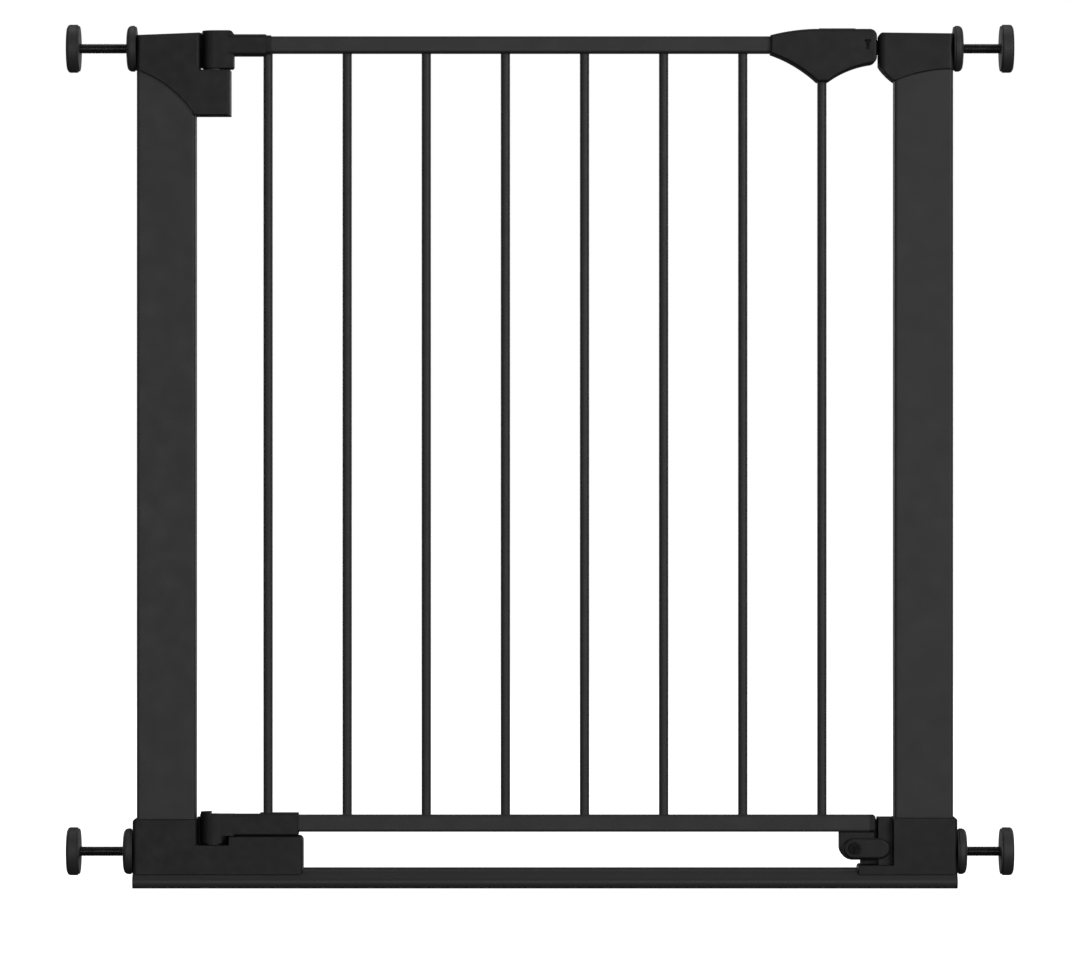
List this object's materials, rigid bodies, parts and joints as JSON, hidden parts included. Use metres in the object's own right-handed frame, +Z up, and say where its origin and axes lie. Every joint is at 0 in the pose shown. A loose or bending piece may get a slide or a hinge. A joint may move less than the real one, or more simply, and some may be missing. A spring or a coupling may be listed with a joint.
{
  "type": "safety gate",
  "caption": "Pressure-fit safety gate: a U-shaped tube frame with a barred leaf that lifts and swings, a sliding latch, a stop lever and threaded wall pads at the corners.",
  "frame": {"origin": "middle of the threshold bar's underside, on the floor", "axes": "+X to the latch side, -Y to the front that the leaf swings towards, +Z up"},
  "size_m": [0.8035, 0.0408, 0.7332],
  "materials": {
    "powder_coated_steel": "satin black powder coat, fine orange peel",
    "black_plastic": "black polypropylene with a fine spark-eroded grain",
    "black_acetal": "smooth black bearing plastic",
    "blackened_spindle_steel": "black zinc plate on rolled threads",
    "blackened_screw_steel": "black zinc plate",
    "bright_pin_steel": "bright zinc plate",
    "spring_steel": "drawn spring wire",
    "wall_pad_rubber": "soft matt black rubber"
  },
  "bodies": {
    "frame": {"threshold_bar": "powder_coated_steel", "threshold_end_caps": "black_plastic", "left_post": "powder_coated_steel", "right_post": "powder_coated_steel", "upper_hinge_bracket": "black_plastic", "lower_hinge_bracket": "black_plastic", "upper_latch_housing": "black_plastic", "lower_catch_bracket": "black_plastic", "upper_hinge_pin": "bright_pin_steel", "lower_hinge_pin": "bright_pin_steel", "frame_screws": "blackened_screw_steel", "spindle_guides": "black_acetal"},
    "hinge_carrier": {"upper_hinge_bush": "black_acetal", "lower_hinge_bush": "black_acetal"},
    "leaf": {"top_rail": "powder_coated_steel", "bottom_rail": "powder_coated_steel", "bar_1": "powder_coated_steel", "bar_2": "powder_coated_steel", "bar_3": "powder_coated_steel", "bar_4": "powder_coated_steel", "bar_5": "powder_coated_steel", "bar_6": "powder_coated_steel", "bar_7": "powder_coated_steel", "bar_8": "powder_coated_steel", "upper_hinge_arm": "black_plastic", "lower_hinge_arm": "black_plastic", "hinge_arm_screws": "blackened_screw_steel", "bottom_rail_cap": "black_plastic", "catch_block": "black_plastic", "stop_screw": "blackened_screw_steel", "handle_front_shell": "black_plastic", "handle_back_shell": "black_plastic", "handle_screws": "blackened_screw_steel", "spring_seat": "black_acetal", "latch_spring": "spring_steel"},
    "latch": {"thumb_slide": "black_plastic", "latch_bolt": "black_plastic"},
    "stop": {"stop_lever": "black_plastic"},
    "upper_left_wheel": {"upper_left_adjuster_wheel": "black_plastic"},
    "upper_left_foot": {"upper_left_spindle": "blackened_spindle_steel", "upper_left_end_disc": "black_plastic", "upper_left_wall_pad": "wall_pad_rubber"},
    "lower_left_wheel": {"lower_left_adjuster_wheel": "black_plastic"},
    "lower_left_foot": {"lower_left_spindle": "blackened_spindle_steel", "lower_left_end_disc": "black_plastic", "lower_left_wall_pad": "wall_pad_rubber"},
    "upper_right_wheel": {"upper_right_adjuster_wheel": "black_plastic"},
    "upper_right_foot": {"upper_right_spindle": "blackened_spindle_steel", "upper_right_end_disc": "black_plastic", "upper_right_wall_pad": "wall_pad_rubber"},
    "lower_right_wheel": {"lower_right_adjuster_wheel": "black_plastic"},
    "lower_right_foot": {"lower_right_spindle": "blackened_spindle_steel", "lower_right_end_disc": "black_plastic", "lower_right_wall_pad": "wall_pad_rubber"}
  },
  "joints": [
    {"name": "leaf_lift", "type": "slide", "parent": "frame", "child": "hinge_carrier", "axis": [0, 0, 1], "range_m": [0, 0.01]},
    {"name": "leaf_swing", "type": "hinge", "parent": "hinge_carrier", "child": "leaf", "pos_m": [-0.2812, 0, 0], "axis": [0, 0, -1], "range_deg": [0, 90]},
    {"name": "latch_slide", "type": "slide", "parent": "leaf", "child": "latch", "axis": [1, 0, 0], "range_m": [-0.003, 0.009], "deforming": ["latch_spring"]},
    {"name": "stop_turn", "type": "hinge", "parent": "leaf", "child": "stop", "pos_m": [0.2619, 0, 0.0337], "axis": [0, -1, 0], "range_deg": [0, 180]},
    {"name": "upper_left_wheel_turn", "type": "hinge", "parent": "frame", "child": "upper_left_wheel", "pos_m": [-0.3469, 0, 0.7128], "axis": [-1, 0, 0], "range_deg": [-2882, 7922]},
    {"name": "upper_left_foot_slide", "type": "slide", "parent": "frame", "child": "upper_left_foot", "axis": [-1, 0, 0], "range_m": [-0.0275, 0.01]},
    {"name": "lower_left_wheel_turn", "type": "hinge", "parent": "frame", "child": "lower_left_wheel", "pos_m": [-0.35, 0, 0.0307], "axis": [-1, 0, 0], "range_deg": [-2882, 7922]},
    {"name": "lower_left_foot_slide", "type": "slide", "parent": "frame", "child": "lower_left_foot", "axis": [-1, 0, 0], "range_m": [-0.0275, 0.01]},
    {"name": "upper_right_wheel_turn", "type": "hinge", "parent": "frame", "child": "upper_right_wheel", "pos_m": [0.3469, 0, 0.7128], "axis": [1, 0, 0], "range_deg": [-5042, 5762]},
    {"name": "upper_right_foot_slide", "type": "slide", "parent": "frame", "child": "upper_right_foot", "axis": [1, 0, 0], "range_m": [-0.02, 0.0175]},
    {"name": "lower_right_wheel_turn", "type": "hinge", "parent": "frame", "child": "lower_right_wheel", "pos_m": [0.35, 0, 0.0307], "axis": [1, 0, 0], "range_deg": [-5042, 5762]},
    {"name": "lower_right_foot_slide", "type": "slide", "parent": "frame", "child": "lower_right_foot", "axis": [1, 0, 0], "range_m": [-0.02, 0.0175]}
  ],
  "couplings": [
    {"joint": "upper_left_wheel_turn", "follows": "upper_left_foot_slide", "rad_per_m": -5026.5},
    {"joint": "lower_left_wheel_turn", "follows": "lower_left_foot_slide", "rad_per_m": -5026.5},
    {"joint": "upper_right_wheel_turn", "follows": "upper_right_foot_slide", "rad_per_m": -5026.5},
    {"joint": "lower_right_wheel_turn", "follows": "lower_right_foot_slide", "rad_per_m": -5026.5}
  ]
}
